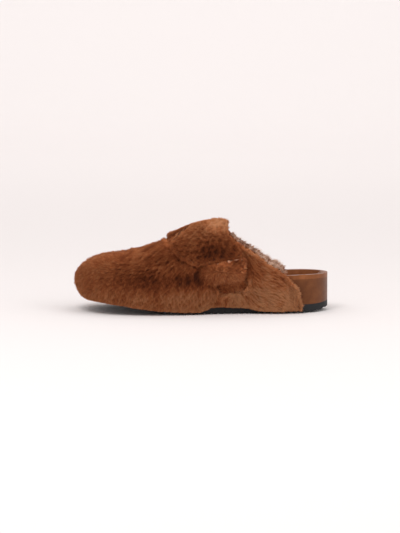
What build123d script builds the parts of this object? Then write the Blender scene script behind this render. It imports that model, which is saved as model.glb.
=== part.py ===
from build123d import *
import math
import os

# A left clog. X runs from toe to heel, -Y is the outer side and Z is up, all in millimetres.
# The origin is on the flat of the sole, under the instep.

# Overall sizes.
sole_length = 257.5
ball_width = 97.0
instep_height = 94.5

# The outline points further down are drawn at these sizes.
drawn_length = 257.5
drawn_width = 97.0
drawn_height = 94.5

# Sole.
outsole_thickness = 9.0
toe_spring = 11.5
rocker_start = -5.0
heel_bevel_start = 104.0
heel_bevel = 4.8
heel_seat_rise = 2.4
tread_pitch = 7.0
tread_radius = 1.6
tread_depth = 1.1

# Layers of the footbed.
margin_thickness = 1.4
margin_width = 13.0
heel_rim_height = 40.0
jute_thickness = 0.8
jute_margin = 15.0
sock_thickness = 1.3
wrap_thickness = 1.5
wrap_turn_down = 4.5
wrap_front = 86.0
recess_wall = 42.0
recess_least_depth = 5.0

# Layers of the upper, measured inward from the outer face of the fur.
fur_thickness = 8.0
lining_thickness = 4.0
pressed_hide = 0.6
collar_slack = 1.0
hem_turn = 0.4
tongue_sink = 0.1
tongue_clearance = 0.5
tongue_flank = 4.0

# Instep strap.
strap_proud = 2.6
strap_fur_thickness = 3.4
strap_leather_thickness = 1.4
strap_gap = 0.5
throat_gap = 0.8
hinge_height = 50.0

# Buckle.
buckle_bar_x = 30.5
buckle_bar_z = 41.0
buckle_bar_radius = 1.2
buckle_inside_width = 27.0
buckle_reach = 14.5
buckle_tilt = 17.0
chape_thickness = 1.0
chape_width = 22.0
chape_length = 15.0
loop_gap = 0.15
prong_width = 2.6
prong_thickness = 1.2
prong_gap = 0.3
prong_overrun = 2.4
rivet_radius = 1.5
rivet_head_radius = 3.2
rivet_head = 0.9
rivet_spacing = 11.0
eye_wall = 1.0
slot_reach = 3.4
slot_ease = 1.6
chape_slope = 0.4
rivet_x = 11.0
rivet_depth = 2.2
burr_thickness = 0.8
buckle_corner = 2.5
strap_slant = 12.0
prong_end_round = 0.45

# Room cut round the buckle, beyond its own metal.
bar_ease = 0.35
side_room = 1.2
front_room = 6.0
rear_room = 2.0
bar_sweep = 3.5
rail_sweep = 5.0
rail_end = 2.5
prong_sweep = 3.0
prong_end_room = 1.0
prong_top_room = 0.6

# Anchor stitches at the inner side.
strap_root_x = 18.5
stitch_count = 7
stitch_pitch = 4.2
stitch_radius = 0.45
stitch_proud = 0.3

length_ratio = sole_length / drawn_length
width_ratio = ball_width / drawn_width
height_ratio = instep_height / drawn_height
far = 90.0 * max(width_ratio, 1.0)

# Drawn places that the curves run between.
sole_toe_x = -126.0
sole_heel_x = 134.0
drawn_rim_height = 40.0
toe_pull_start = -60.0
toe_pull_length = 74.0
section_foot = 0.6
section_low = 0.33
section_low_width = 0.985
section_high = 0.78
section_high_width = 0.74
bed_side = 0.82
bed_side_rise = 0.2

# Heights well clear of the whole shoe, where a cutting shape may end.
deep = -40.0
high = 160.0
seat_low = -5.0
seat_high = 60.0

outline_points = [
    (134, 0), (120, -25), (95, -33), (60, -34.5), (25, -38), (-10, -44), (-45, -48.5),
    (-75, -46), (-100, -34.5), (-116, -16), (-123.5, 8), (-117, 29), (-100, 40.5), (-75, 46),
    (-45, 44.5), (-10, 35.5), (25, 30), (60, 30), (95, 32.5), (120, 25),
]

# Each station of the fur surface: x, outer side, inner side, crest height and crest offset.
upper_stations = [
    (-134.0, 9, 22, 39.5, 6),
    (-131.0, 15, 28, 45.5, 6),
    (-125.0, 26, 37, 51.5, 6),
    (-114.0, 39, 45, 57.0, 5),
    (-97.0, 50, 51.5, 60.5, 4),
    (-75.0, 57, 55, 64.0, 3),
    (-50.0, 58, 53.5, 71.5, 2),
    (-25.0, 55.5, 48, 82.5, 0),
    (0.0, 51, 42, 92.0, -1),
    (25.0, 46.5, 38.5, 92.5, -2),
    (50.0, 44, 38.5, 88.0, -2),
    (80.0, 42.5, 40, 82.0, -1),
    (115.0, 39, 39, 76.0, 0),
]

collar_points = [
    (26, 88), (38, 75.5), (56, 64), (70, 53), (81, 47), (91.5, 38.5), (98, 33), (102, 24), (105, 12),
    (104, -2),
]
hem_points = [
    (-140, 36), (-133, 26), (-126, 15.5), (-118, 12.5), (-100, 11.8), (-60, 7), (-20, 3), (1, 3),
    (11, 6.6), (34, 6.6), (52, 5.4), (64, 2.8), (80, 2.5), (120, 2.5),
]
rim_points = [(140, 40), (104, 40), (60, 37.5), (20, 34), (-20, 30), (-60, 30), (-100, 35), (-140, 38)]

# Foot recess: x, half width outside, half width inside, floor height and arch lift.
recess_stations = [
    (129.0, 15, 15, 37, 0),
    (124.0, 20, 20, 31.5, 0),
    (112.0, 25.5, 25, 27.5, 0),
    (90.0, 28, 27, 26, 0.5),
    (60.0, 29, 25, 27, 3),
    (25.0, 31.5, 24, 27, 5),
    (-10.0, 37, 29, 24, 2.5),
    (-45.0, 41, 37, 21.5, 0),
    (-75.0, 38.5, 38.5, 24.5, 0),
    (-97.0, 28, 33.5, 27, 0),
    (-112.0, 12, 24, 31, 0),
]

strap_outer_points = [
    (-31, 75), (-24, 81), (-13, 89), (-3, 96), (6, 101), (26, 101), (27, 86), (36, 74), (43, 62),
    (44, 50), (42, 36), (36, 31), (26, 31), (19, 37), (16, 48), (3, 51), (-12, 55), (-24, 62),
    (-30, 69),
]
strap_inner_points = [
    (-3, 96), (6, 101), (26, 101), (28, 86), (30, 70), (32, 56), (29, 45), (18, 43), (8, 45), (5, 56),
    (3, 70), (0, 84),
]
throat_points = [(-32, -20), (-34, 0), (-32, 24), (-10, 27), (24, 24), (24, -22), (0, -24)]


def lengthways(x):
    return x * length_ratio


def sideways(y):
    return y * width_ratio


def upwards(z):
    return z * height_ratio


def ground(x):
    """Height of the sole's underside above the floor."""
    toe = (lengthways(rocker_start) - x) / (lengthways(rocker_start) - lengthways(sole_toe_x))
    heel = (x - lengthways(heel_bevel_start)) / (lengthways(sole_heel_x) - lengthways(heel_bevel_start))
    if toe > 0:
        return toe_spring * (1 - math.cos(math.pi * min(toe, 1.0))) / 2
    if heel > 0:
        return heel_bevel * heel ** 2
    return 0.0


def outline(points, grow):
    """A smooth closed outline through some points, moved outward square to itself."""
    edge = Spline(*points, periodic=True)
    if grow == 0:
        return make_face(edge)
    area = sum(a[0] * b[1] - b[0] * a[1] for a, b in zip(points, points[1:] + points[:1]))
    way = grow if area > 0 else -grow
    moved = []
    for k in range(2 * len(points)):
        spot = edge.position_at(k / (2 * len(points)))
        along = edge.tangent_at(k / (2 * len(points)))
        moved.append((spot.X + along.Y * way, spot.Y - along.X * way))
    return make_face(Spline(*moved, periodic=True))


def plan(inset):
    """The sole's outline, moved inward."""
    return outline([(lengthways(x), sideways(y)) for x, y in outline_points], -inset)


def side_prism(edges):
    """A closed side view, drawn in X and Z, carried right across the width."""
    return extrude(Plane.XZ * make_face(edges), far, both=True)


def column(face, low, high):
    return extrude(Pos(0, 0, low) * face, high - low)


def below_sole_line(lift, heel_rise):
    """Everything under the sole's side line when it is raised by a lift."""
    front = lengthways(rocker_start)
    rear = lengthways(heel_bevel_start)
    toe_reach = lengthways(sole_toe_x)
    stations = [front + (toe_reach - front) * k / 6 for k in range(7)]
    rocker = [(x, lift + ground(x)) for x in stations]
    back = lengthways(sole_heel_x)
    edges = [
        Line((rear, lift), (front, lift)),
        Spline(*rocker, tangents=[(-1, 0), (-1, 0)]),
        Polyline(rocker[-1], (toe_reach - 30, lift + toe_spring), (toe_reach - 30, deep), (back + 30, deep),
                 (back + 30, lift + heel_rise), (back, lift + heel_rise)),
        Spline((rear, lift), (back, lift + heel_rise), tangents=[(1, 0), (1, 0.25)]),
    ]
    return side_prism(edges)


def below_rim(drop):
    """Everything under the footbed's rim."""
    rim = [(lengthways(x), z * heel_rim_height / drawn_rim_height - drop) for x, z in rim_points]
    edges = [Spline(*rim), Polyline(rim[-1], (rim[-1][0], deep), (rim[0][0], deep), rim[0])]
    return side_prism(edges)


def upper_section(x, outer, inner, crest, crest_y, inset):
    """One cross section of the upper, with a straight skirt below its sides."""
    foot = ground(x) + outsole_thickness * section_foot
    outer = sideways(outer) - inset
    inner = sideways(inner) - inset
    crest = upwards(crest) - inset
    rise = crest - foot
    middle = sideways(crest_y)
    edge = Spline(
        (-outer, foot), (-outer * section_low_width, foot + rise * section_low),
        (middle - (outer + middle) * section_high_width, foot + rise * section_high), (middle, crest),
        (middle + (inner - middle) * section_high_width, foot + rise * section_high),
        (inner * section_low_width, foot + rise * section_low), (inner, foot),
        tangents=[(0, 1), (0, -1)],
    )
    skirt = Polyline((inner, foot), (inner, deep), (-outer, deep), (-outer, foot))
    return Plane.YZ.offset(x) * make_face([edge, skirt])


def upper_block(inset):
    """The upper's whole outside, moved inward on every side."""
    sections = []
    for x, outer, inner, crest, crest_y in upper_stations:
        pull = min(max((toe_pull_start - x) / toe_pull_length, 0), 1)
        sections.append(upper_section(lengthways(x) + inset * pull, outer, inner, crest, crest_y, inset))
    return loft(sections)


def above_hem():
    hem = [(lengthways(x), z) for x, z in hem_points]
    edges = [Spline(*hem), Polyline(hem[-1], (hem[-1][0], high), (hem[0][0], high), hem[0])]
    return side_prism(edges)


def before_collar(clearance):
    """Everything in front of and under the collar line."""
    collar = [(lengthways(x) - clearance, upwards(z) if z > 0 else z) for x, z in collar_points]
    front = lengthways(-160)
    top = collar[0][1]
    edges = [
        Spline(*collar),
        Polyline(collar[-1], (collar[-1][0], deep), (front, deep), (front, high), (collar[0][0], high),
                 (collar[0][0], top)),
    ]
    return side_prism(edges)


def footbed_plan(front_inset, heel_inset):
    """The footbed's outline, cut back under the upper and full at the open heel."""
    heel_zone = Pos(wrap_front + far * 2, 0) * Rectangle(far * 4, far * 4)
    return plan(front_inset) + (plan(heel_inset) & heel_zone)


def recess(shrink):
    """The hollow that the foot stands in, with every wall moved inward."""
    ends = (recess_stations[0][0], -recess_stations[-1][0])
    sections = []
    for x, outer, inner, floor, arch in recess_stations:
        share = x / ends[0] if x > 0 else x / ends[1]
        outer = sideways(outer) - shrink
        inner = sideways(inner) - shrink
        floor = floor + shrink
        wall = max(recess_wall, floor + recess_least_depth)
        depth = wall - floor
        bed = Spline(
            (-outer, wall), (-outer * bed_side, floor + depth * bed_side_rise), (0, floor),
            (inner * bed_side, floor + depth * bed_side_rise + arch), (inner, wall),
            tangents=[(0, -1), (0, 1)],
        )
        lid = Polyline((inner, wall), (inner, wall + 60), (-outer, wall + 60), (-outer, wall))
        sections.append(Plane.YZ.offset(lengthways(x) - shrink * share) * make_face([bed, lid]))
    return loft(sections)


def rod(plane, x, y, low, high, radius):
    """A round rod square to a plane, between two heights over it."""
    return plane * (Pos(x, y, low) * Cylinder(radius, high - low, align=standing))


def brick(plane, x_range, y_range, z_range):
    """A block given by its ranges on a plane's own axes."""
    size = [high - low for low, high in (x_range, y_range, z_range)]
    return plane * (Pos(x_range[0], y_range[0], z_range[0]) * Box(*size, align=cornered))


def strap_zone(grow):
    """The strap's shape seen from the outer and the inner side, grown in its own outline."""
    outer = outline([(lengthways(x), upwards(z)) for x, z in strap_outer_points], grow)
    inner = outline([(lengthways(x), upwards(z)) for x, z in strap_inner_points], grow)
    return extrude(Plane.XZ * outer, far) + extrude(Plane.XZ * inner, -far)


def throat_zone(grow):
    face = outline([(lengthways(x), sideways(y)) for x, y in throat_points], grow)
    return column(face, upwards(hinge_height - 5), high)


def buckle_plane(block):
    """A plane on the pressed hide at the hinge bar: x runs down the strap and z points outward."""
    ray = Axis((lengthways(buckle_bar_x), -2 * far, upwards(buckle_bar_z)), (0, 1, 0))
    hits = block.find_intersection_points(ray)
    point, normal = min(hits, key=lambda hit: hit[0].Y)
    down = Vector(math.sin(math.radians(strap_slant)), 0, -math.cos(math.radians(strap_slant)))
    down = (down - normal * down.dot(normal)).normalized()
    return Plane(origin=point, x_dir=down, z_dir=normal)


def frame_plane(base):
    """A plane through the hinge bar: x runs to the outer bar and z points away from the strap."""
    across = base.y_dir
    bar = base.origin + base.z_dir * bar_height
    tilt = math.radians(buckle_tilt)
    reach = base.z_dir * math.sin(tilt) - base.x_dir * math.cos(tilt)
    return Plane(origin=bar, x_dir=reach, z_dir=across.cross(reach) if across.cross(reach).dot(base.z_dir) > 0
                 else reach.cross(across))


def outsole():
    body = column(plan(0), seat_low, seat_high) & below_sole_line(outsole_thickness, heel_seat_rise)
    body -= below_sole_line(0, heel_bevel)
    count = int(sole_length / tread_pitch / 2) + 2
    grooves = []
    for k in range(-count, count):
        x = (k + 0.5) * tread_pitch
        centre = ground(x) - tread_radius + tread_depth
        grooves.append(Pos(x, 0, centre) * Rot(90, 0, 0) * Cylinder(tread_radius, 4 * far))
    return body - grooves


def lower_jute():
    layer = below_sole_line(outsole_thickness + margin_thickness, heel_seat_rise)
    layer -= below_sole_line(outsole_thickness, heel_seat_rise)
    return layer & column(footbed_plan(lining_thickness + margin_width, wrap_thickness), seat_low, seat_high)


def cork_footbed(jute):
    body = footbed_block(wrap_thickness, sock_thickness)
    body -= below_sole_line(outsole_thickness + margin_thickness, heel_seat_rise)
    return largest(body - recess(jute_thickness) - jute)


def upper_jute():
    """The jute on the floor of the recess, kept off its steep sides."""
    layer = (recess(0) - recess(jute_thickness)) & column(plan(jute_margin), 0, seat_high)
    return largest(layer & below_rim(sock_thickness))


def sock_lining():
    """The suede over the foot recess and the rim, turned down over the wrap at the heel."""
    over_rim = brick(Plane.XY, (-far * 3, far * 3), (-far, far), (deep, high)) - below_rim(sock_thickness)
    skin = (over_rim + recess(jute_thickness)) - recess(jute_thickness + sock_thickness)
    cover = footbed_block(0, 0) & skin
    turn = column(plan(0), seat_low, seat_high) - column(plan(wrap_thickness), seat_low - 1, seat_high + 1)
    turn &= below_rim(0) & brick(Plane.XY, (wrap_front, far * 3), (-far, far), (deep, high))
    return largest(cover + (turn - below_rim(wrap_turn_down)))


def footbed_wrap():
    ring = column(plan(0), seat_low, seat_high) - column(plan(wrap_thickness), seat_low - 1, seat_high + 1)
    ring &= below_rim(wrap_turn_down)
    ring -= below_sole_line(outsole_thickness, heel_seat_rise)
    return ring & Pos(wrap_front + far * 2, 0, 0) * Box(far * 4, far * 4, far * 4)


def upper_lining(blocks):
    """The wool lining, with the margin that is pulled in between the footbed and the outsole."""
    layer = below_sole_line(outsole_thickness + margin_thickness, heel_seat_rise)
    flange = column(plan(hem_turn), seat_low, seat_high)
    flange -= column(plan(lining_thickness + margin_width), seat_low - 1, seat_high + 1)
    layer &= before_x(wrap_front)
    flange &= layer
    shell = (blocks["hide"] - blocks["cavity"]) & before_collar(0)
    shell -= footbed_block(0, 0) - layer
    shell += flange
    return largest(shell - below_sole_line(outsole_thickness, heel_seat_rise))


def footbed_block(heel_inset, drop):
    """The whole footbed with no hollow, down through the floor."""
    return column(footbed_plan(lining_thickness, heel_inset), deep, seat_high) & below_rim(drop)


def before_x(x):
    return Pos(lengthways(x) - far * 3, 0, 0) * Box(far * 6, far * 6, far * 6)


def largest(shape):
    """The main solid, without loose slivers."""
    return max(shape.solids(), key=lambda solid: solid.volume)


def vamp(blocks, pockets):
    shell = (blocks["fur"] - blocks["hide"]) & before_collar(0) & above_hem()
    shell -= footbed_block(0, 0)
    shell -= column(plan(0), deep, seat_high) & below_sole_line(outsole_thickness, heel_seat_rise)
    for piece in pockets:
        shell -= piece
    return largest(shell)


def tongue(blocks, strap_room, lining):
    pad = (blocks["under_strap"] - blocks["tongue_base"]) & throat_zone(0)
    side = (blocks["strap"] - blocks["under_strap"]) & throat_zone(0)
    side &= Pos(0, far - sideways(tongue_flank), 0) * Box(far * 6, far * 2, far * 6)
    side -= strap_room
    return largest(((pad + side) & before_collar(tongue_clearance)) - lining)


def strap_layer(outer, inner, zone, cuts):
    layer = (outer - inner) & zone & before_collar(-collar_slack)
    for cut in cuts:
        layer -= cut
    return largest(layer)


def buckle_frame(plane):
    centre = buckle_reach / 2
    width = buckle_inside_width + 2 * buckle_bar_radius
    corners = [(0, -width / 2), (buckle_reach, -width / 2), (buckle_reach, width / 2), (0, width / 2)]
    path = FilletPolyline(*corners, radius=buckle_corner, close=True)
    path = plane * path
    start = path.position_at(0)
    section = Plane(origin=start, z_dir=path.tangent_at(0)) * Circle(buckle_bar_radius)
    return sweep(section, path=path)


def buckle_chape(base):
    top = 2 * bar_height
    loop = Pos(0, bar_height) * (Circle(bar_height) - Circle(bar_height - chape_thickness))
    loop &= Pos(-far, 0) * Rectangle(2 * far, 4 * far)
    under = Pos(chape_length / 2, chape_thickness / 2) * Rectangle(chape_length, chape_thickness)
    over = make_face(Polyline(
        (0, top - chape_thickness), (chape_length * 0.5, chape_thickness), (chape_length, chape_thickness),
        (chape_length, 2 * chape_thickness), (chape_length * 0.5 + chape_slope, 2 * chape_thickness),
        (0, top), close=True))
    side = Plane(origin=base.origin, x_dir=base.x_dir, z_dir=base.x_dir.cross(base.z_dir))
    strip = extrude(side * (loop + under + over), chape_width / 2, both=True)
    slot = Rot(90, 0, 0) * Cylinder(bar_height + slot_reach, prong_width + slot_ease)
    slot = base * (Pos(0, 0, bar_height) * slot)
    for y in rivet_places:
        strip -= rod(base, rivet_x, y, -5, 5, rivet_radius)
    return strip - slot


def buckle_prong(plane):
    eye_radius = buckle_bar_radius + loop_gap + eye_wall
    eye = Cylinder(eye_radius, prong_width) - Cylinder(buckle_bar_radius + loop_gap, prong_width)
    eye = Rot(90, 0, 0) * eye
    low = buckle_bar_radius + prong_gap
    blade = Pos(0, 0, low) * Box(buckle_reach + prong_overrun, prong_width, prong_thickness, align=bladed)
    blade = fillet(blade.edges().filter_by(Axis.Z).group_by(Axis.X)[-1], prong_width * prong_end_round)
    return plane * (eye + blade)


def chape_rivets(base):
    rivets = []
    for y in rivet_places:
        shank = rod(base, rivet_x, y, -rivet_depth, 2 * chape_thickness, rivet_radius)
        head = rod(base, rivet_x, y, 2 * chape_thickness, 2 * chape_thickness + rivet_head, rivet_head_radius)
        rivets.append(shank + head)
    return rivets


def rivet_burrs(base):
    burrs = []
    for y in rivet_places:
        disc = rod(base, rivet_x, y, -rivet_depth - burr_thickness, -rivet_depth, rivet_head_radius)
        burrs.append(disc)
    return burrs


def anchor_stitches(blocks):
    """Threads through the strap's root and the inner quarter, one rod for each stitch."""
    rods = []
    for k in range(stitch_count):
        x = lengthways(strap_root_x) + (k - (stitch_count - 1) / 2) * stitch_pitch
        bar = Rot(-90, 0, 0) * Cylinder(stitch_radius, far * 2, align=standing)
        bar = Pos(x, 0, upwards(hinge_height)) * bar
        rods.append(largest((bar & blocks["stitch_top"]) - blocks["hide"]))
    return rods


def write(name, shape):
    pieces = shape if isinstance(shape, list) else [shape]
    solids = [solid for piece in pieces for solid in piece.solids()]
    result = Compound(children=solids) if len(solids) > 1 else solids[0]
    result.label = name
    export_step(result, f"parts/{name}.step")


standing = (Align.CENTER, Align.CENTER, Align.MIN)
cornered = (Align.MIN, Align.MIN, Align.MIN)
bladed = (Align.MIN, Align.CENTER, Align.MIN)
bar_height = buckle_bar_radius + loop_gap + chape_thickness
rivet_places = [-rivet_spacing / 2, rivet_spacing / 2]
strap_inset = strap_fur_thickness + strap_leather_thickness - strap_proud

os.makedirs("parts", exist_ok=True)

blocks = {
    "strap": upper_block(-strap_proud),
    "stitch_top": upper_block(-strap_proud - stitch_proud),
    "fur": upper_block(0),
    "strap_leather": upper_block(strap_fur_thickness - strap_proud),
    "strap_inside": upper_block(strap_inset),
    "under_strap": upper_block(strap_inset + strap_gap),
    "tongue_base": upper_block(fur_thickness - tongue_sink),
    "pressed": upper_block(fur_thickness - pressed_hide),
    "hide": upper_block(fur_thickness),
    "cavity": upper_block(fur_thickness + lining_thickness),
}
base = buckle_plane(blocks["pressed"])
tilted = frame_plane(base)
half_room = buckle_inside_width / 2 + 2 * buckle_bar_radius + side_room

strap_room = strap_zone(strap_gap) - blocks["under_strap"]
bar_room = base * (Pos(0, 0, bar_height) * Rot(90, 0, 0) * Cylinder(bar_height + bar_ease, 2 * half_room))
buckle_room = brick(base, (-buckle_reach - front_room, chape_length + rear_room), (-half_room, half_room),
                    (0, far))
buckle_room += bar_room
outer_bar_room = brick(tilted, (buckle_reach - bar_sweep, buckle_reach + bar_sweep), (-far, far),
                       (-buckle_bar_radius - strap_gap, far))
rail_room = [
    brick(tilted, (-rail_sweep, buckle_reach + rail_end),
          (side * (buckle_inside_width / 2 - strap_gap), side * far)[::side], (-buckle_reach, far))
    for side in (1, -1)
]
prong_room = brick(tilted, (-buckle_bar_radius - prong_sweep, buckle_reach + prong_overrun + prong_end_room),
                   (-prong_width / 2 - strap_gap, prong_width / 2 + strap_gap),
                   (-buckle_bar_radius - prong_sweep,
                    buckle_bar_radius + prong_gap + prong_thickness + prong_top_room))
strap_cuts = [outer_bar_room] + rail_room + [prong_room]

jute = upper_jute()
cork = cork_footbed(jute)
sole = outsole()
margin_jute = lower_jute()
sock = sock_lining()
wrap = footbed_wrap()
stitches = anchor_stitches(blocks)
rivets = chape_rivets(base)
burrs = rivet_burrs(base)
lining = upper_lining(blocks)
for piece in rivets + burrs + stitches:
    lining -= piece
outer_upper = vamp(blocks, [strap_room, throat_zone(throat_gap), buckle_room] + rivets + stitches)
fur_cuts = strap_cuts + stitches
strap_fur = strap_layer(blocks["strap"], blocks["strap_leather"], strap_zone(0), fur_cuts)
strap_leather = strap_layer(blocks["strap_leather"], blocks["strap_inside"], strap_zone(-1.0), fur_cuts)

write("outsole", sole)
write("lower_jute", margin_jute)
write("cork_footbed", cork)
write("upper_jute", jute)
write("sock_lining", sock)
write("footbed_wrap", wrap)
write("upper_lining", lining)
write("vamp", outer_upper)
write("tongue", tongue(blocks, strap_room, lining))
write("instep_strap", strap_fur)
write("strap_leather", strap_leather)
write("buckle_frame", buckle_frame(tilted))
write("buckle_prong", buckle_prong(tilted))
write("buckle_chape", buckle_chape(base))
write("chape_rivets", rivets)
write("rivet_burrs", burrs)
write("anchor_stitches", stitches)
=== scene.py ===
import math

import bmesh
import bpy
import numpy as np
from mathutils import Matrix, Vector


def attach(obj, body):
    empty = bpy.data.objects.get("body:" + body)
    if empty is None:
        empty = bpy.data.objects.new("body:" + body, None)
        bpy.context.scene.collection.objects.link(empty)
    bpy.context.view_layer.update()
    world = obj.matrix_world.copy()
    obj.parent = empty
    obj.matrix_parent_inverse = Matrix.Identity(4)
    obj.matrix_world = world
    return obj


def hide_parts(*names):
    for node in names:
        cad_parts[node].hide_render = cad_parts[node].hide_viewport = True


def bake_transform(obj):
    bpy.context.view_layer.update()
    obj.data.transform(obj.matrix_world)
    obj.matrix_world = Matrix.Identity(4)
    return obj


# A left shearling clog with an instep strap. The toe is towards -X and the outer side faces -Y.
# Sizes in the dictionaries are in mm unless a note says otherwise.

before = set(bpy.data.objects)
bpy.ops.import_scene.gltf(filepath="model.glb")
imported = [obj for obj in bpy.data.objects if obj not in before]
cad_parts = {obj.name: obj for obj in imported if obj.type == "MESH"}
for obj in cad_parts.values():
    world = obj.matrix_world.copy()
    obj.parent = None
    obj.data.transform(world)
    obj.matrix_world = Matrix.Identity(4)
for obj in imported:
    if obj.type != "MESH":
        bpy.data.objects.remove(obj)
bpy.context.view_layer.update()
mm = 0.001            # in metres
metre = 1000.0        # in mm
weldDistance = 1e-5   # m, closer points are one
print("frame loaded")

# camera, light and floor
studio = {
    "aim": (-1.5, -25.0, 48.5),   # a point inside the near half of the shoe
    "elevation": 6.0,             # degrees
    "distance": 2500.0,
    "pictureHeight": 561.0,       # seen from top to bottom at that distance
    "sensor": 36.0,
    "sky": "#FAF6F5",
    "skyStrength": 0.95,
    "paper": "#EAE6E5",
    "paperHalfWidth": 8.0,        # m, as are the next four
    "paperFront": -6.0,
    "sweepStart": 3.2,            # behind the shoe, where the paper starts to curve up
    "sweepRadius": 1.5,
    "paperTop": 6.0,
    "sweepSteps": 24,
}

lamps = {   # place, size and aim in m, power in W
    "keyLight": {"place": (-0.5, -1.1, 1.5), "size": 0.9, "power": 11.0, "aim": (0, 0, 0.04)},
    "fillLight": {"place": (1.2, -0.9, 0.8), "size": 1.0, "power": 4.0, "aim": (0, 0, 0.04)},
    "backdropLight": {"place": (0.0, 2.6, 3.4), "size": 3.0, "power": 36.0, "aim": (0, 4.7, 0.9)},
}


def toLinear(hexColour):
    value = hexColour.lstrip("#")
    parts = [int(value[i:i + 2], 16) / 255 for i in (0, 2, 4)]
    return [c / 12.92 if c <= 0.04045 else ((c + 0.055) / 1.055) ** 2.4 for c in parts] + [1.0]


def addNode(tree, kind, settings=None, links=None, stops=None):
    # settings go to the node or its sockets, links feed its sockets, and stops fill a colour ramp
    node = tree.nodes.new(kind)
    for name, value in (settings or {}).items():
        if hasattr(node, name):
            setattr(node, name, value)
        else:
            node.inputs[name].default_value = value
    for name, source in (links or {}).items():
        tree.links.new(source, node.inputs[name])
    if stops:
        elements = node.color_ramp.elements
        while len(elements) < len(stops):
            elements.new(0.5)
        for element, (place, colour) in zip(elements, stops):
            element.position = place
            element.color = toLinear(colour)
    return node


def newMaterial(name, settings):
    material = bpy.data.materials.new(name)
    material.use_nodes = True
    tree = material.node_tree
    tree.nodes.clear()
    shader = addNode(tree, "ShaderNodeBsdfPrincipled", settings)
    addNode(tree, "ShaderNodeOutputMaterial", {}, {"Surface": shader.outputs[0]})
    return material, tree, shader


def addObject(name, data):
    thing = bpy.data.objects.new(name, data)
    bpy.context.scene.collection.objects.link(thing)
    return thing


def makeCamera():
    angle = math.radians(studio["elevation"])
    back = Vector((0, -math.cos(angle), math.sin(angle)))
    data = bpy.data.cameras.new("camera")
    data.sensor_width = studio["sensor"]
    data.lens = studio["sensor"] * studio["distance"] / studio["pictureHeight"]
    camera = addObject("camera", data)
    camera.location = (Vector(studio["aim"]) + back * studio["distance"]) * mm
    camera.rotation_euler = (math.radians(90) - angle, 0, 0)
    bpy.context.scene.camera = camera


def makePaper():
    # one long sheet, flat under the shoe and curving up behind it
    half, start, radius = studio["paperHalfWidth"], studio["sweepStart"], studio["sweepRadius"]
    bm = bmesh.new()
    ends = [bm.verts.new((x, studio["paperFront"], 0)) for x in (-half, half)]
    line = [bm.edges.new(ends)]
    run = bmesh.ops.extrude_edge_only(bm, edges=line)["geom"]
    bmesh.ops.translate(bm, verts=[v for v in run if isinstance(v, bmesh.types.BMVert)],
                        vec=(0, start - studio["paperFront"], 0))
    line = [e for e in run if isinstance(e, bmesh.types.BMEdge)]
    curve = bmesh.ops.spin(bm, geom=line, cent=(0, start, radius), axis=(1, 0, 0), dvec=(0, 0, 0),
                           angle=math.pi / 2, steps=studio["sweepSteps"])
    line = [e for e in curve["geom_last"] if isinstance(e, bmesh.types.BMEdge)]
    run = bmesh.ops.extrude_edge_only(bm, edges=line)["geom"]
    bmesh.ops.translate(bm, verts=[v for v in run if isinstance(v, bmesh.types.BMVert)],
                        vec=(0, 0, studio["paperTop"] - radius))
    bmesh.ops.remove_doubles(bm, verts=bm.verts, dist=weldDistance)
    bmesh.ops.recalc_face_normals(bm, faces=bm.faces)
    bm.faces.ensure_lookup_table()
    if bm.faces[0].normal.z < 0:
        bmesh.ops.reverse_faces(bm, faces=bm.faces)
    for face in bm.faces:
        face.smooth = True
    mesh = bpy.data.meshes.new("paperSweep")
    bm.to_mesh(mesh)
    bm.free()
    # matt card: no gloss, a touch greyer than the sky
    paper, _, shader = newMaterial("matt_white_paper", {"Roughness": 0.95, "Specular IOR Level": 0.1})
    shader.inputs["Base Color"].default_value = toLinear(studio["paper"])
    mesh.materials.append(paper)
    addObject("paperSweep", mesh)


def makeSky():
    world = bpy.data.worlds.new("softSky")
    world.use_nodes = True
    sky = world.node_tree.nodes["Background"]
    sky.inputs["Color"].default_value = toLinear(studio["sky"])
    sky.inputs["Strength"].default_value = studio["skyStrength"]
    bpy.context.scene.world = world


def makeLight(name, lamp):
    data = bpy.data.lights.new(name, "AREA")
    data.shape = "DISK"
    data.size = lamp["size"]
    data.energy = lamp["power"]
    light = addObject(name, data)
    light.location = lamp["place"]
    light.rotation_euler = (Vector(lamp["aim"]) - Vector(lamp["place"])).to_track_quat("-Z", "Y").to_euler()


makeCamera()
makePaper()
makeSky()
for name, lamp in lamps.items():
    makeLight(name, lamp)
bpy.context.scene.view_settings.view_transform = "Standard"
bpy.context.scene.view_settings.look = "None"
print("studio made")

# materials
pileLook = {
    "tone": [(0.0, "#4E2110"), (0.3, "#8A4421"), (0.5, "#B26236"), (0.7, "#CA7A4A"), (1.0, "#E2A172")],
    "rootShade": 0.34,    # painted shade: how dark a hair is where it leaves the skin
    "fullLight": 0.8,     # how far up a hair its full colour starts
    "sheen": 0.12,
    "glow": "#D9A27C",
}
woolLook = dict(pileLook, tone=[(0.0, "#743C22"), (0.45, "#BB7656"), (1.0, "#F2CDB4")], rootShade=0.55)
wrapLook = {"tone": [(0.3, "#5A321A"), (0.55, "#6B3E21"), (0.8, "#794A2A")], "mottle": 9.0, "nap": 0.9}
sockLook = {"tone": [(0.3, "#704022"), (0.55, "#834D2B"), (0.8, "#935B37")], "mottle": 9.0, "nap": 0.9}
foamLook = {"tone": [(0.35, "#0B0C0D"), (0.7, "#17191B")], "mottle": 14.0, "pebble": 0.8}
corkLook = {"tone": [(0.2, "#7A5230"), (0.55, "#B0824F"), (0.85, "#C99B66")], "grain": 2.2}
juteLook = {"tone": [(0.0, "#7B5D38"), (1.0, "#BFA070")], "thread": 9.425}
leatherLook = {"tone": [(0.3, "#4A2616"), (0.7, "#6E3D24")], "mottle": 12.0, "crease": 1.1}
copperLook = {"tone": [(0.3, "#B0785C"), (0.7, "#DDA98A")], "mottle": 3.0,
              "smoothest": 0.22, "roughest": 0.42}
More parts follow.
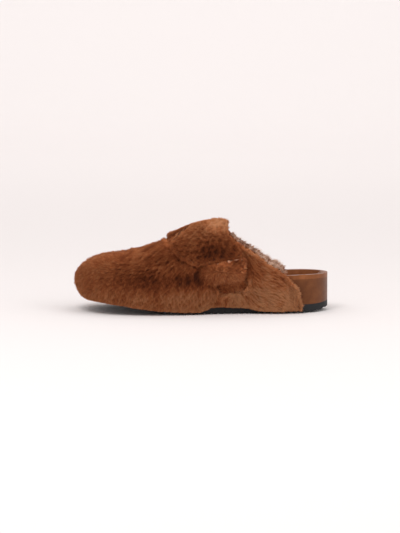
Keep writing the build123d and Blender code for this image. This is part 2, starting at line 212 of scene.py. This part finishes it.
threadLook = {"tone": [(0.3, "#4F2814"), (0.7, "#7A4326")], "twist": 0.7}

mottled = {"Detail": 4.0, "Roughness": 0.6}   # a cloudy noise that breaks up each plain colour
bandsPerScale = 20 / (2 * math.pi)            # wave bands in a metre at a scale of one


def dyedPile(name, look):
    # dyed sheep's wool: matt hair, with painted shade deep down in the pile, paler at the tips, and a soft
    # glow along edges.
    # the map's U is the tone of a strand and its V runs from root to tip
    material, tree, shader = newMaterial(name, {
        "Roughness": 0.8, "Specular IOR Level": 0.18, "IOR": 1.5,
        "Sheen Weight": look["sheen"], "Sheen Roughness": 0.5, "Sheen Tint": toLinear(look["glow"])})
    strand = addNode(tree, "ShaderNodeUVMap", {"uv_map": "OFBake"})
    split = addNode(tree, "ShaderNodeSeparateXYZ", {}, {"Vector": strand.outputs["UV"]})
    tone = addNode(tree, "ShaderNodeValToRGB", {}, {"Fac": split.outputs["X"]}, look["tone"])
    shade = addNode(tree, "ShaderNodeMapRange",
                    {"From Max": look["fullLight"], "To Min": look["rootShade"], "To Max": 1.0},
                    {"Value": split.outputs["Y"]})
    mixed = addNode(tree, "ShaderNodeVectorMath", {"operation": "SCALE"},
                    {"Vector": tone.outputs["Color"], "Scale": shade.outputs["Result"]})
    tree.links.new(mixed.outputs["Vector"], shader.inputs["Base Color"])
    return material


def suedeLeather(name, look):
    # brushed split leather: no gloss, and a fine nap that mottles where it has been stroked
    material, tree, shader = newMaterial(name, {"Roughness": 0.92, "Specular IOR Level": 0.2,
                                                "Sheen Weight": 0.3, "Sheen Roughness": 0.45})
    place = addNode(tree, "ShaderNodeTexCoord").outputs["Object"]
    noise = addNode(tree, "ShaderNodeTexNoise", dict(mottled, Scale=metre / look["mottle"], Detail=6.0),
                    {"Vector": place})
    tone = addNode(tree, "ShaderNodeValToRGB", {}, {"Fac": noise.outputs["Fac"]}, look["tone"])
    nap = addNode(tree, "ShaderNodeTexNoise", {"Scale": metre / look["nap"], "Detail": 3.0},
                  {"Vector": place})
    grain = addNode(tree, "ShaderNodeMapRange", {"To Min": 0.82, "To Max": 1.12},
                    {"Value": nap.outputs["Fac"]})
    mixed = addNode(tree, "ShaderNodeVectorMath", {"operation": "SCALE"},
                    {"Vector": tone.outputs["Color"], "Scale": grain.outputs["Result"]})
    tree.links.new(mixed.outputs["Vector"], shader.inputs["Base Color"])
    bump = addNode(tree, "ShaderNodeBump", {"Strength": 0.6, "Distance": 0.25 * mm},
                   {"Height": nap.outputs["Fac"]})
    tree.links.new(bump.outputs["Normal"], shader.inputs["Normal"])
    return material


def mouldedFoam():
    # moulded EVA foam: near black, a soft satin skin with a faint pebble from the mould
    material, tree, shader = newMaterial("moulded_eva_foam", {"Roughness": 0.62, "Specular IOR Level": 0.35})
    place = addNode(tree, "ShaderNodeTexCoord").outputs["Object"]
    noise = addNode(tree, "ShaderNodeTexNoise", dict(mottled, Scale=metre / foamLook["mottle"]),
                    {"Vector": place})
    tone = addNode(tree, "ShaderNodeValToRGB", {}, {"Fac": noise.outputs["Fac"]}, foamLook["tone"])
    tree.links.new(tone.outputs["Color"], shader.inputs["Base Color"])
    pebble = addNode(tree, "ShaderNodeTexNoise", {"Scale": metre / foamLook["pebble"], "Detail": 2.0},
                     {"Vector": place})
    bump = addNode(tree, "ShaderNodeBump", {"Strength": 0.5, "Distance": 0.12 * mm},
                   {"Height": pebble.outputs["Fac"]})
    tree.links.new(bump.outputs["Normal"], shader.inputs["Normal"])
    return material


def groundCork():
    # cork granules bound in latex: speckled tan and brown grains of about 2 mm
    material, tree, shader = newMaterial("latex_bound_cork", {"Roughness": 0.85, "Specular IOR Level": 0.25})
    place = addNode(tree, "ShaderNodeTexCoord").outputs["Object"]
    cells = addNode(tree, "ShaderNodeTexVoronoi", {"Scale": metre / corkLook["grain"]}, {"Vector": place})
    grey = addNode(tree, "ShaderNodeRGBToBW", {}, {"Color": cells.outputs["Color"]})
    tone = addNode(tree, "ShaderNodeValToRGB", {}, {"Fac": grey.outputs[0]}, corkLook["tone"])
    tree.links.new(tone.outputs["Color"], shader.inputs["Base Color"])
    bump = addNode(tree, "ShaderNodeBump", {"Strength": 0.5, "Distance": 0.2 * mm},
                   {"Height": cells.outputs["Distance"]})
    tree.links.new(bump.outputs["Normal"], shader.inputs["Normal"])
    return material


def wovenJute():
    # plain woven jute: coarse pale threads, drawn 9 mm apart because the real 1.5 mm is too fine to show
    material, tree, shader = newMaterial("woven_jute", {"Roughness": 0.9, "Specular IOR Level": 0.2})
    place = addNode(tree, "ShaderNodeTexCoord").outputs["Object"]
    scale = metre / (juteLook["thread"] * bandsPerScale)
    warp, weft = (addNode(tree, "ShaderNodeTexWave",
                          {"bands_direction": way, "Scale": scale, "Distortion": 1.0},
                          {"Vector": place}) for way in "XY")
    cross = addNode(tree, "ShaderNodeMath", {"operation": "MULTIPLY"},
                    {0: warp.outputs["Fac"], 1: weft.outputs["Fac"]})
    tone = addNode(tree, "ShaderNodeValToRGB", {}, {"Fac": cross.outputs[0]}, juteLook["tone"])
    tree.links.new(tone.outputs["Color"], shader.inputs["Base Color"])
    bump = addNode(tree, "ShaderNodeBump", {"Strength": 0.7, "Distance": 0.3 * mm},
                   {"Height": cross.outputs[0]})
    tree.links.new(bump.outputs["Normal"], shader.inputs["Normal"])
    return material


def finishedLeather():
    # drum dyed leather with a light finish: creased grain of about 1 mm cells and a low sheen
    material, tree, shader = newMaterial("drum_dyed_leather", {"Roughness": 0.55, "Specular IOR Level": 0.4})
    place = addNode(tree, "ShaderNodeTexCoord").outputs["Object"]
    noise = addNode(tree, "ShaderNodeTexNoise", dict(mottled, Scale=metre / leatherLook["mottle"]),
                    {"Vector": place})
    tone = addNode(tree, "ShaderNodeValToRGB", {}, {"Fac": noise.outputs["Fac"]}, leatherLook["tone"])
    tree.links.new(tone.outputs["Color"], shader.inputs["Base Color"])
    cells = addNode(tree, "ShaderNodeTexVoronoi",
                    {"feature": "DISTANCE_TO_EDGE", "Scale": metre / leatherLook["crease"]},
                    {"Vector": place})
    bump = addNode(tree, "ShaderNodeBump", {"Strength": 0.6, "Distance": 0.15 * mm},
                   {"Height": cells.outputs["Distance"]})
    tree.links.new(bump.outputs["Normal"], shader.inputs["Normal"])
    return material


def copperPlate():
    # copper plated zinc casting, tumbled: rosy, satin, with faint handling marks
    material, tree, shader = newMaterial("copper_plated_zinc", {"Metallic": 1.0, "Roughness": 0.3})
    place = addNode(tree, "ShaderNodeTexCoord").outputs["Object"]
    noise = addNode(tree, "ShaderNodeTexNoise", dict(mottled, Scale=metre / copperLook["mottle"]),
                    {"Vector": place})
    tone = addNode(tree, "ShaderNodeValToRGB", {}, {"Fac": noise.outputs["Fac"]}, copperLook["tone"])
    tree.links.new(tone.outputs["Color"], shader.inputs["Base Color"])
    rough = addNode(tree, "ShaderNodeMapRange",
                    {"To Min": copperLook["smoothest"], "To Max": copperLook["roughest"]},
                    {"Value": noise.outputs["Fac"]})
    tree.links.new(rough.outputs["Result"], shader.inputs["Roughness"])
    return material


def waxedThread():
    # waxed polyester thread, twisted: a slight gleam on the twist
    material, tree, shader = newMaterial("waxed_thread", {"Roughness": 0.5, "Specular IOR Level": 0.4})
    place = addNode(tree, "ShaderNodeTexCoord").outputs["Object"]
    noise = addNode(tree, "ShaderNodeTexNoise", dict(mottled, Scale=metre / threadLook["twist"]),
                    {"Vector": place})
    tone = addNode(tree, "ShaderNodeValToRGB", {}, {"Fac": noise.outputs["Fac"]}, threadLook["tone"])
    tree.links.new(tone.outputs["Color"], shader.inputs["Base Color"])
    return material


pileMaterial = dyedPile("dyed_sheepskin_pile", pileLook)
woolMaterial = dyedPile("natural_lining_wool", woolLook)
wrapSuede = suedeLeather("brown_suede", wrapLook)
sockSuede = suedeLeather("sock_suede", sockLook)
finishes = [
    (mouldedFoam(), ["outsole"]),
    (groundCork(), ["cork_footbed"]),
    (wovenJute(), ["lower_jute", "upper_jute"]),
    (finishedLeather(), ["strap_leather", "buckle_chape"]),
    (copperPlate(), ["buckle_frame", "buckle_prong", "chape_rivets", "rivet_burrs"]),
    (waxedThread(), ["anchor_stitches"]),
]
for material, nodes in finishes:
    for node in nodes:
        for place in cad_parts[node].material_slots:
            place.material = material
print("materials made")

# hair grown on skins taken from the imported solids
combing = {
    "waves": 16,
    "tuft": 7.5,        # between the middles of tufts
    "wisp": 2.3,        # between wisps inside a tuft
    "region": 30.0,     # over which the tone drifts
    "tuftTall": 0.08,   # how much taller a tuft stands, as a share
    "wispTall": 0.05,
    "tuftTone": 0.06,
    "wispTone": 0.08,
    "regionTone": 0.04,
    "hemFray": 0.7,     # how unevenly the hair ends above the hem
}
heart = {"front": -92.0, "across": 2.0, "low": 22.0, "high": 40.0}


def waveField(spacing, seed):
    # smooth seeded noise made of plane waves: its value and its slope at many points
    own = np.random.default_rng(seed)
    ways = own.normal(size=(combing["waves"], 3))
    ways /= np.linalg.norm(ways, axis=1)[:, None]
    ways *= (2 * math.pi / spacing) * own.uniform(0.7, 1.3, combing["waves"])[:, None]
    phases = own.uniform(0, 2 * math.pi, combing["waves"])
    size = math.sqrt(2.0 / combing["waves"])
    level = spacing / 6.3   # brings the slope near one

    def at(points):
        turns = points @ ways.T + phases
        return size * np.sin(turns).sum(1), size * np.cos(turns) @ ways * level
    return at


tuftField = waveField(combing["tuft"], 1)
wispField = waveField(combing["wisp"], 2)
regionField = waveField(combing["region"], 3)


def unit(vectors):
    return vectors / np.maximum(np.linalg.norm(vectors, axis=1)[:, None], 1e-9)


def smoothStep(value, low, high):
    t = np.clip((value - low) / (high - low), 0, 1)
    return t * t * (3 - 2 * t)


def bell(value, middle, width):
    return np.exp(-((value - middle) / width) ** 2)


def evenly(value):
    # the same depth, height or tone all over
    return lambda *spots: np.full(len(spots[0]), value)


def outwardness(spots, normals):
    # how far a face looks away from the line inside the shoe that the upper is wrapped round
    inner = spots.copy()
    inner[:, 0] = np.maximum(inner[:, 0], heart["front"])
    inner[:, 1] = heart["across"]
    inner[:, 2] = np.clip(inner[:, 2], heart["low"], heart["high"])
    return (unit(spots - inner) * normals).sum(1)


def skinOf(node, voxel, rounds):
    # a closed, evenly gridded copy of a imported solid
    bm = bmesh.new()
    bm.from_mesh(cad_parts[node].data)
    bmesh.ops.remove_doubles(bm, verts=bm.verts, dist=weldDistance)
    mesh = bpy.data.meshes.new("solid")
    bm.to_mesh(mesh)
    bm.free()
    solid = addObject("solid", mesh)
    remesh = solid.modifiers.new("grid", "REMESH")
    remesh.mode = "VOXEL"
    remesh.voxel_size = voxel * mm
    remesh.adaptivity = 0.0
    result = bpy.data.meshes.new_from_object(solid.evaluated_get(bpy.context.evaluated_depsgraph_get()))
    bpy.data.objects.remove(solid)
    bm = bmesh.new()
    bm.from_mesh(result)
    for _ in range(rounds):
        bmesh.ops.smooth_vert(bm, verts=bm.verts, factor=0.5,
                              use_axis_x=True, use_axis_y=True, use_axis_z=True)
    bm.normal_update()
    bpy.data.meshes.remove(result)
    return bm


def readPoints(mesh):
    values = np.empty(len(mesh.vertices) * 3, np.float32)
    mesh.vertices.foreach_get("co", values)
    return values.reshape(-1, 3).astype(float) / mm


def cutZone(skin, low, high):
    # the part of a skin between two stations along X, closed where it is cut
    zone = skin.copy()
    for station, normal in ((low, (-1, 0, 0)), (high, (1, 0, 0))):
        if station is None:
            continue
        cut = bmesh.ops.bisect_plane(zone, geom=zone.verts[:] + zone.edges[:] + zone.faces[:],
                                     plane_co=(station * mm, 0, 0), plane_no=normal, clear_outer=True)
        rim = [e for e in cut["geom_cut"] if isinstance(e, bmesh.types.BMEdge)]
        bmesh.ops.holes_fill(zone, edges=rim, sides=0)
    zone.normal_update()
    return zone


def hairedFaces(zone, style, stations):
    # the faces that grow hair, without the flat ends where the zone is cut
    faces = [f for f in zone.faces
             if not any(all(abs(v.co.x - s * mm) < 1e-7 for v in f.verts) for s in stations)]
    spots = np.array([f.calc_center_median() for f in faces]) / mm
    normals = np.array([f.normal[:] for f in faces])
    return [f for f, grows in zip(faces, style["grows"](spots, normals)) if grows]


def outwardAt(mesh, points, stations):
    # the way out at each point; the flat ends don't count, so that two zones match where they meet
    triangles = np.empty(len(mesh.loops), np.int32)
    mesh.loops.foreach_get("vertex_index", triangles)
    triangles = triangles.reshape(-1, 3)
    corners = points[triangles]
    across = np.cross(corners[:, 1] - corners[:, 0], corners[:, 2] - corners[:, 0])
    for s in stations:
        across[np.all(np.abs(corners[:, :, 0] - s) < 1e-3, axis=1)] = 0
    outward = np.zeros_like(points)
    for corner in range(3):
        np.add.at(outward, triangles[:, corner], across)
    return unit(outward)


def paintStrands(mesh, tips, tone):
    # the map: U is the tone of the strand, V runs from its root to its tip
    loops = np.empty(len(mesh.loops), np.int32)
    mesh.loops.foreach_get("vertex_index", loops)
    strand = np.empty(len(mesh.polygons), np.int32)
    mesh.attributes["strand"].data.foreach_get("value", strand)
    owner = np.repeat(strand, 3)
    corner = np.arange(len(loops)) % 3
    bareTone, spread, bareRise = 0.25, 0.003, 0.02   # the last two keep each triangle open in the map
    across = np.where(owner < 0, bareTone, tone[np.maximum(owner, 0)]) + (corner - 1) * spread
    isTip = np.zeros(len(mesh.vertices), bool)
    isTip[tips] = True
    up = np.where(isTip[loops], 1.0, np.where(owner < 0, bareRise * corner, 0.0))
    layer = mesh.uv_layers.new(name="OFBake")
    layer.data.foreach_set("uv", np.stack([across, up], 1).astype(np.float32).ravel())
    mesh.attributes.remove(mesh.attributes["strand"])
    mesh.polygons.foreach_set("use_smooth", strand >= 0)


def growHair(name, skin, style, material, limits=(None, None)):
    stations = [s for s in limits if s is not None]
    zone = cutZone(skin, *limits)
    number = zone.faces.layers.int.new("strand")
    edges = list({e for f in hairedFaces(zone, style, stations) for e in f.edges})
    bmesh.ops.subdivide_edges(zone, edges=edges, cuts=style["cuts"], use_grid_fill=True)
    bmesh.ops.triangulate(zone, faces=zone.faces[:])
    zone.normal_update()
    faces = hairedFaces(zone, style, stations)
    for f in zone.faces:
        f[number] = -1
    for k, f in enumerate(faces):
        f[number] = k
    zone.verts.index_update()
    bases = np.array([[v.index for v in f.verts] for f in faces])
    mesh = bpy.data.meshes.new(name)
    zone.to_mesh(mesh)
    points = readPoints(mesh)
    outward = outwardAt(mesh, points, stations)

    # each haired face becomes a three-sided strand with its point at a new vertex
    poked = bmesh.ops.poke(zone, faces=faces)
    zone.verts.index_update()
    tips = np.empty(len(faces), int)
    for v in poked["verts"]:
        tips[v.link_faces[0][number]] = v.index
    zone.to_mesh(mesh)
    zone.free()

    # the skin sinks below the solid's face, so that the hair fills the solid's outer layer
    own = np.random.default_rng(len(faces))
    sunk = np.zeros((len(points), 1))
    sunk[np.unique(bases)] = 1.0
    placed = readPoints(mesh)
    side = unit(np.cross(outward, (0.3, 0.2, 1.0)))
    drift = own.uniform(-1, 1, (len(points), 2)) * style["step"] * 0.3
    shifted = points - outward * style["depth"](outward)[:, None]
    shifted = shifted + side * drift[:, :1] + np.cross(outward, side) * drift[:, 1:]
    placed[:len(points)] = points + (shifted - points) * sunk

    # each strand leans with the comb, and towards the middle of its tuft and wisp
    roots = placed[bases].mean(1)
    grain = unit(outward[bases].mean(1))
    surface = points[bases].mean(1)
    way = style["comb"](surface, grain)
    way = way - grain * (way * grain).sum(1)[:, None]
    drawn = surface - way * ((surface * way).sum(1) * style["streak"])[:, None]
    tuft, tuftSlope = tuftField(drawn)
    wisp, wispSlope = wispField(drawn)
    region, _ = regionField(surface)
    lean = way * style["lean"] + tuftSlope * style["tuft"] + wispSlope * style["wisp"]
    lean = lean + own.normal(size=roots.shape) * style["stray"]
    lean -= grain * (lean * grain).sum(1)[:, None]
    tall = style["height"](surface, grain) * (1 + combing["tuftTall"] * tuft + combing["wispTall"] * wisp)
    tall *= own.uniform(1 - style["ragged"], 1 + 0.7 * style["ragged"], len(roots))
    placed[tips] = roots + grain * tall[:, None] + lean
    if "floor" in style:
        least = style["floor"](placed[:, 0]) + own.exponential(combing["hemFray"], len(placed))
        placed[:, 2] = np.maximum(placed[:, 2], least)
    mesh.vertices.foreach_set("co", (placed * mm).astype(np.float32).ravel())

    tone = style["tone"](surface, grain) + combing["tuftTone"] * tuft
    tone = tone + combing["wispTone"] * wisp + combing["regionTone"] * region
    paintStrands(mesh, tips, np.clip(tone + own.normal(size=len(roots)) * style["fleck"], 0.02, 0.98))
    mesh.materials.append(material)
    mesh.update()
    piece = addObject(name, mesh)
    print(name, "strands", len(faces), "triangles", len(mesh.polygons))
    return piece


# the upper's outer fur
tab = {   # the furred tail of the strap over the hinge bar
    "centre": (22.0, -42.0, 44.2),
    "half": (23.5, 5.6, 10.6),
    "turn": 7.0,                # degrees, towards the heel
    "square": (0.85, 1.0, 0.8),  # below one squares the pad's outline off
    "belly": 1.2,               # how far its two ends hang
    "frontDroop": 1.5,
    "rearRise": 15.0,           # how fast its upper rear corner rises
    "rearFrom": 0.35,
}

hemLine = [(-134, 24), (-128, 16.5), (-120, 13.5), (-107, 12.4), (-86, 9.6), (-54, 5.2), (-29, 2.8),
           (-2, 2.2), (6, 4.5), (10, 7.0), (22, 7.4), (38, 6.2), (50, 5.4), (60, 2.4), (105, 1.2)]
strapEdge = {"z": (46, 62, 74, 86), "x": (49.5, 47.5, 40.5, 31.5)}   # the strap's rear edge on the fur

upperShade = {   # tones are from 0, darkest, to 1
    "base": 0.52,
    "band": -0.24,      # painted shade along the flank
    # painted shadow below the strap's front edge
    "strapShadow": -0.10,
    "gap": -0.22,       # the shadow round the strap's edge and its tail
    "low": 0.16,        # painted light near the sole, where the longer pile fluffs out
    "quarter": 0.13,
    # painted highlight over the top of the toe
    "toe": 0.07,
    "waist": 0.13,
}


def hemAt(x):
    return np.interp(x, *zip(*hemLine))


def downhill(surface, grain):
    # smooth over the toes, combed down the sides, and swept back behind the buckle
    x, y, z = surface.T
    way = np.zeros_like(surface)
    back = smoothStep(x, 25, 75)
    crown = smoothStep(grain[:, 2], 0.3, 0.9)
    edge = smoothStep(x, 84, 100)
    way[:, 0] = -0.25 - 0.5 * crown + 1.15 * back
    way[:, 0] -= 0.8 * edge
    way[:, 1] = 0.5 * np.tanh(y / 15.0)
    way[:, 2] = -0.9
    way[:, 2] *= 1 - 0.55 * back
    way[:, 2] -= 0.3 * edge
    return way


def upperTone(surface, grain):
    # painted light and shade: lighter over the top, painted shade in a band along the flank and round the
    # strap, and painted light again near the sole
    x, y, z = surface.T
    flank = smoothStep(np.abs(grain[:, 1]), 0.35, 0.8)
    band = bell(z, 40, 9.0) * flank * smoothStep(x, -105, -60) * (1 - smoothStep(x, 0, 25))
    # painted shadow on the vamp below the strap's front edge
    strapShadow = bell(x, -38, 9.0) * smoothStep(z, 50, 62)
    gap = bell(x, np.interp(z, strapEdge["z"], strapEdge["x"]), 2.0) * smoothStep(z, 44, 50) * (y < 0)
    ring = np.hypot((x - tab["centre"][0]) / 27.0, (z - tab["centre"][2]) / 13.5)
    gap = np.maximum(gap, bell(ring, 1, 0.10) * (y < -20) * (z < 52))
    tone = upperShade["base"] + upperShade["band"] * band + upperShade["strapShadow"] * strapShadow
    tone += upperShade["gap"] * gap + upperShade["low"] * smoothStep(-z, -34, -20)
    tone += upperShade["quarter"] * smoothStep(x, 20, 50)
    tone += upperShade["toe"] * smoothStep(-x, 95, 120) * smoothStep(z, 22, 40)
    return tone + upperShade["waist"] * smoothStep(x, -50, -20) * smoothStep(-z, -45, -25)


vampStyle = {
    "grows": lambda spots, normals: outwardness(spots, normals) > -0.2,
    "cuts": 4,        # how finely a face of the skin is divided into strands
    "step": 0.6,      # between strands
    "depth": lambda outward: 4.0 + 2.0 * smoothStep(outward[:, 2], 0.35, 0.85),
    "height": lambda surface, grain: 4.7 + 0.7 * smoothStep(surface[:, 0], -130, -95),
    "comb": downhill,
    "lean": 5.0,      # how far the comb draws a tip
    "tuft": 0.8,      # how far a tip is drawn into its tuft, and into its wisp
    "wisp": 0.9,
    "stray": 0.45,    # how far a tip wanders
    "streak": 0.7,    # how long the tufts are drawn out along the comb, up to 1
    "ragged": 0.16,   # how uneven the heights are, as a share
    "tone": upperTone,
    "fleck": 0.10,    # how much the tone varies from strand to strand
    "floor": hemAt,
}
vampCuts = [None, -112, -92, -70, -48, -25, 10, 50, None]   # keeps each piece small

vampSkin = skinOf("vamp", 3.0, 3)
for k, limits in enumerate(zip(vampCuts, vampCuts[1:])):
    piece = growHair(f"vampPile{k + 1}", vampSkin, vampStyle, pileMaterial, limits)
    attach(piece, "root")
    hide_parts("vamp")
vampSkin.free()
print("vamp grown")

# the tongue pad under the strap
tongueStyle = dict(
    vampStyle, cuts=2, depth=evenly(2.0), lean=2.5, tone=evenly(0.46),
    height=lambda surface, grain: 2.5 + 1.3 * smoothStep(-surface[:, 0], 22, 36))
del tongueStyle["floor"]

tongueSkin = skinOf("tongue", 1.8, 2)
piece = growHair("tonguePile", tongueSkin, tongueStyle, pileMaterial)
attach(piece, "root")
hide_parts("tongue")
tongueSkin.free()
print("tongue grown")


# the wool lining
def liningTone(surface, grain):
    # brown on the walls, cream where the wool curls over the collar's edge
    return 0.42 + 0.42 * smoothStep(grain[:, 2], -0.3, 0.5) * smoothStep(surface[:, 0], 10, 35)


def liningGrows(spots, normals):
    # only what can be seen through the opening
    return (outwardness(spots, normals) < 0.3) & (spots[:, 0] > -60) & (spots[:, 2] > 30)


liningStyle = {
    "grows": liningGrows, "cuts": 2, "step": 0.85, "depth": evenly(0.6),
    "height": lambda surface, grain: 2.6 + 2.2 * smoothStep(surface[:, 0], 15, 40),
    "comb": lambda surface, grain: np.tile((0.9, 0.0, 0.35), (len(surface), 1)), "lean": 2.0,
    "tuft": 1.6, "wisp": 1.0, "stray": 0.8, "streak": 0.3, "ragged": 0.25,
    "tone": liningTone, "fleck": 0.12,
}

liningSkin = skinOf("upper_lining", 2.6, 2)
piece = growHair("liningPile", liningSkin, liningStyle, woolMaterial)
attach(piece, "root")
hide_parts("upper_lining")
liningSkin.free()
print("lining grown")


def strapComb(surface, grain):
    # down the side and out over both edges, with a tuft that stands up at the rear of the crest
    x, y, z = surface.T
    standing = smoothStep(x, 0, 14) * smoothStep(z, 82, 90)
    way = np.zeros_like(surface)
    way[:, 0] = -0.35 + 0.9 * smoothStep(x, 0, 30)
    way[:, 1] = -0.6 * (1 - 0.8 * standing)
    way[:, 2] = -0.55 + 1.2 * standing
    return way


def strapHeight(surface, grain):
    # short over the crown and along the rear edge, longest in the tuft
    x, y, z = surface.T
    crest = smoothStep(z, 78, 90) * smoothStep(x, 6, 16)
    rearEdge = smoothStep(grain[:, 0], 0.3, 0.8)
    top = smoothStep(grain[:, 2], 0.4, 0.85)
    tuft = crest * (1 + 0.7 * np.sin(x * 1.1 + y * 0.7) * np.cos(y * 0.9))
    return (4.2 - 1.4 * top + 1.5 * tuft) * (1 - 0.35 * rearEdge)


def strapTone(surface, grain):
    # painted shade in the hollow above the buckle, and a painted highlight growing up to the crest
    x, y, z = surface.T
    hollowShade = bell(x, 15, 19.0) * bell(z, 66, 6.5) * (y < 0)
    # painted highlight over the crest
    crest = smoothStep(z, 80, 90) * smoothStep(x, 6, 16)
    return 0.51 - 0.30 * hollowShade + 0.19 * smoothStep(z, 72, 88) + 0.14 * crest


strapStyle = {
    "grows": lambda spots, normals: outwardness(spots, normals) > -0.25,
    "cuts": 2, "step": 0.6, "depth": evenly(2.4),
    "height": strapHeight, "comb": strapComb, "lean": 3.4,
    "tuft": 1.0, "wisp": 1.0, "stray": 0.6, "streak": 0.5, "ragged": 0.3,
    "tone": strapTone, "fleck": 0.08,
}

strapSkin = skinOf("instep_strap", 1.8, 2)
piece = growHair("strapPile", strapSkin, strapStyle, pileMaterial)
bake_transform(piece)
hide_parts("instep_strap")
strapSkin.free()
print("strap grown")


# the strap's furred tail, which lies over the hinge bar
def makeTabSkin():
    # a flat rounded pad, fuller towards its lower front
    bm = bmesh.new()
    bmesh.ops.create_icosphere(bm, subdivisions=5, radius=1.0)
    turn = Matrix.Rotation(math.radians(tab["turn"]), 3, "Z")
    for v in bm.verts:
        x, y, z = (math.copysign(abs(c) ** p, c) for c, p in zip(v.co, tab["square"]))
        droop = -tab["belly"] * x * x - tab["frontDroop"] * max(-x, 0)
        if z > 0:
            droop += tab["rearRise"] * max(x - tab["rearFrom"], 0)
        local = Vector((x * tab["half"][0], y * tab["half"][1], z * tab["half"][2] + droop))
        v.co = (turn @ local + Vector(tab["centre"])) * mm
    bm.normal_update()
    return bm


def tabComb(surface, grain):
    way = unit((surface - np.array(tab["centre"])) * (0.6, 0.0, 1.0))
    way[:, 2] -= 0.5
    way[:, 0] += 0.3
    return way


tabStyle = dict(
    strapStyle, cuts=1, depth=evenly(1.0), lean=3.0, comb=tabComb, height=evenly(3.4),
    grows=lambda spots, normals: normals[:, 1] < 0.1,
    tone=lambda surface, grain: 0.46 + 0.10 * smoothStep(-surface[:, 2], -50, -40))
# the chape's own fur, long enough to close over the rivets
chapeStyle = dict(
    tabStyle, depth=evenly(0.3), lean=3.5, tuft=0.6, comb=downhill, tone=evenly(0.46),
    height=lambda surface, grain: 6.5 - 4.0 * smoothStep(surface[:, 2], 36, 42),
    grows=lambda spots, normals: normals[:, 1] < -0.3)

chapeSkin = skinOf("buckle_chape", 0.9, 0)
piece = growHair("chapePile", chapeSkin, chapeStyle, pileMaterial)
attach(piece, "root")
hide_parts("buckle_chape")
chapeSkin.free()

tabSkin = makeTabSkin()
piece = growHair("strapTailPile", tabSkin, tabStyle, pileMaterial)
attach(piece, "strap")
tabSkin.free()
print("buckle's fur grown")

# suede at the open heel
creaseAngle = 38.0   # degrees, sharper edges than this stay sharp


def smoothCopy(node, name, material):
    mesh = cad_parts[node].data.copy()
    mesh.materials.clear()
    mesh.materials.append(material)
    bm = bmesh.new()
    bm.from_mesh(mesh)
    bmesh.ops.remove_doubles(bm, verts=bm.verts, dist=weldDistance)
    bmesh.ops.recalc_face_normals(bm, faces=bm.faces)
    for face in bm.faces:
        face.smooth = True
    bm.to_mesh(mesh)
    bm.free()
    mesh.set_sharp_from_angle(angle=math.radians(creaseAngle))
    piece = addObject(name, mesh)
    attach(piece, "root")
    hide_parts(node)


smoothCopy("footbed_wrap", "heelWrap", wrapSuede)
smoothCopy("sock_lining", "suedeSock", sockSuede)
print("suede made")
